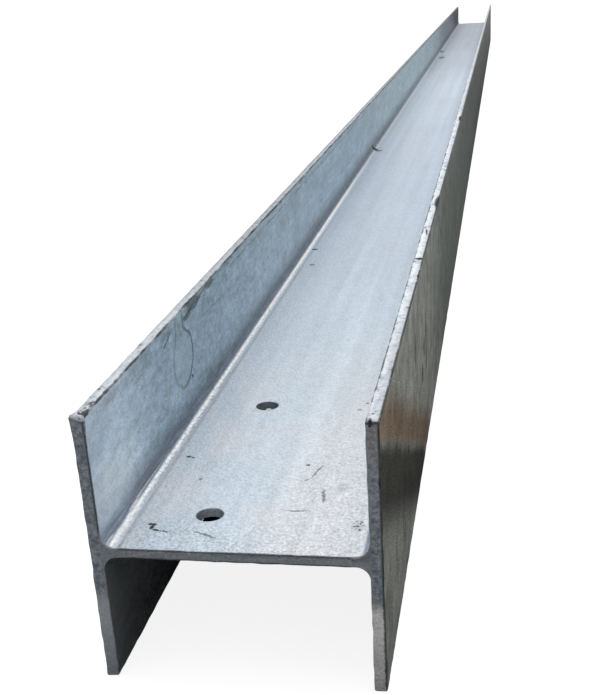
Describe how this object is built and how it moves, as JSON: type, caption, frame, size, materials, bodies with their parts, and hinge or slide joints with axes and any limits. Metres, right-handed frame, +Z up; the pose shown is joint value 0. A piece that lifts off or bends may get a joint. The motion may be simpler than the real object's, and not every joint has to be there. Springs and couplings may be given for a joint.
{
  "type": "steel h-beam post",
  "caption": "Long rolled steel H section with a galvanised finish and a short row of bolt holes through its web near one end, used upright as a post or laid as a beam.",
  "frame": {"origin": "on the floor, under the middle of the post's length and section", "axes": "+X across the section from flange to flange, +Y along the post away from its drilled end, +Z up, square to the web"},
  "size_m": [0.1524, 4.8, 0.1522],
  "materials": {
    "galvanised_steel": "hot-dip galvanised: satin pale blue-grey zinc, whiter on the toes, duller grey on the sawn ends"
  },
  "bodies": {
    "root": {"h_beam_post": "galvanised_steel"}
  },
  "joints": []
}
